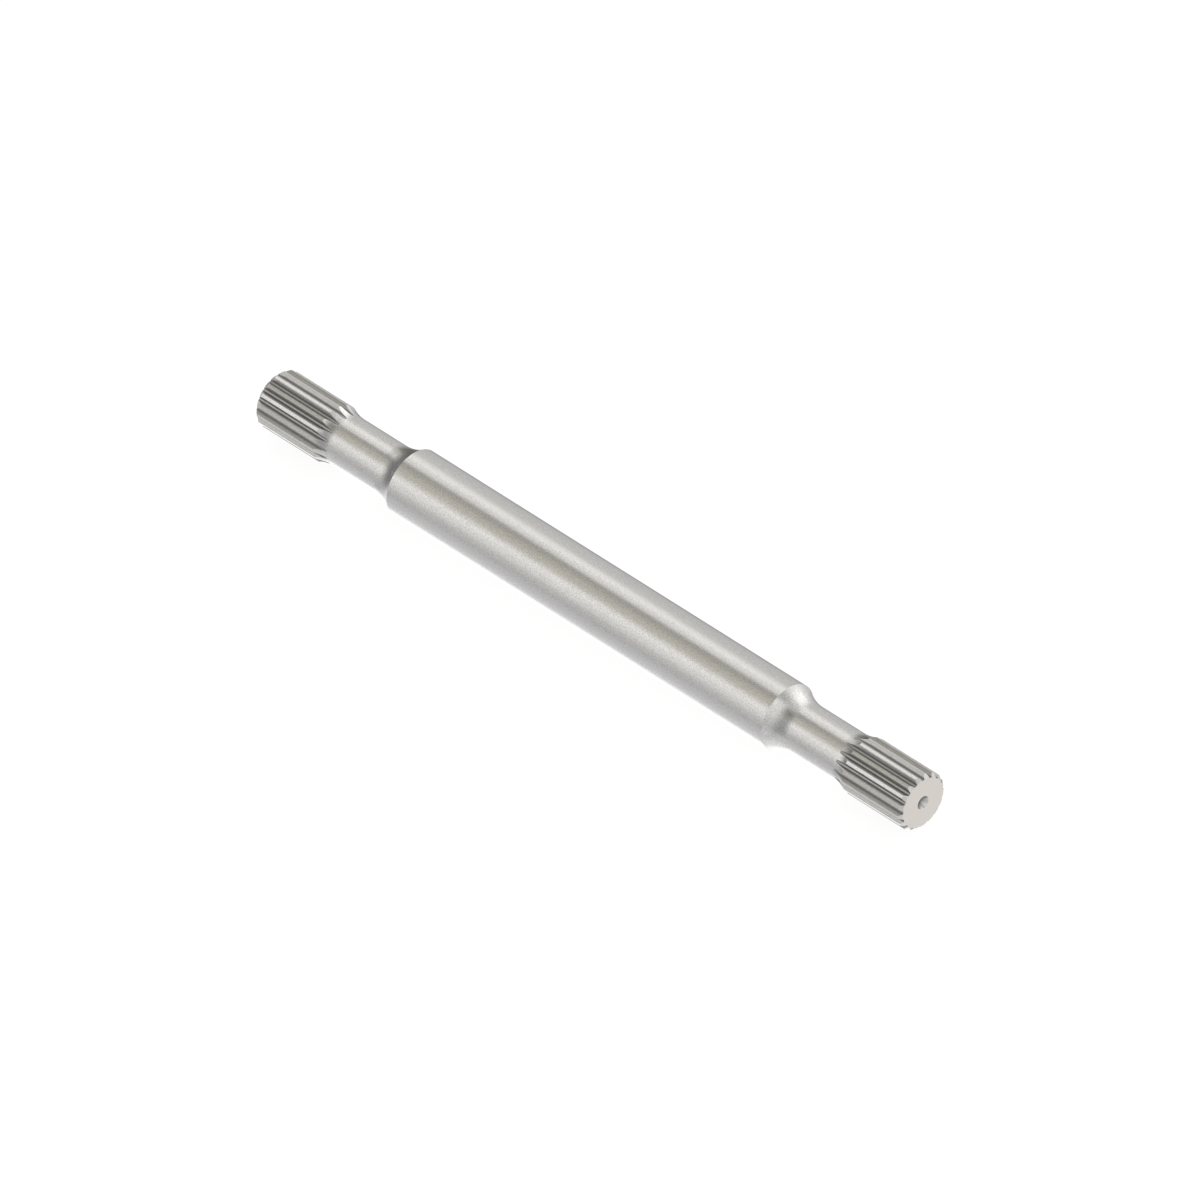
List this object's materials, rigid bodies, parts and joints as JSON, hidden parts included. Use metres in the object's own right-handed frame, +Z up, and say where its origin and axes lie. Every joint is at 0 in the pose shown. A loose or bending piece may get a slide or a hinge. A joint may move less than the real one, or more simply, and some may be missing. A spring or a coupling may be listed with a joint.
{
  "type": "drive shaft",
  "caption": "Straight steel drive shaft with a thick plain middle, thinner necks, and an involute spline and a centre hole at each end.",
  "frame": {"origin": "on the shaft's axis, half way between its two end faces", "axes": "+X along the shaft's axis towards its right end, +Z up as the shaft lies on its thick middle"},
  "size_m": [0.5394, 0.0438, 0.0439],
  "materials": {
    "steel": "fine turned and ground bare steel with a satin sheen"
  },
  "bodies": {
    "root": {"drive_shaft": "steel"}
  },
  "joints": []
}
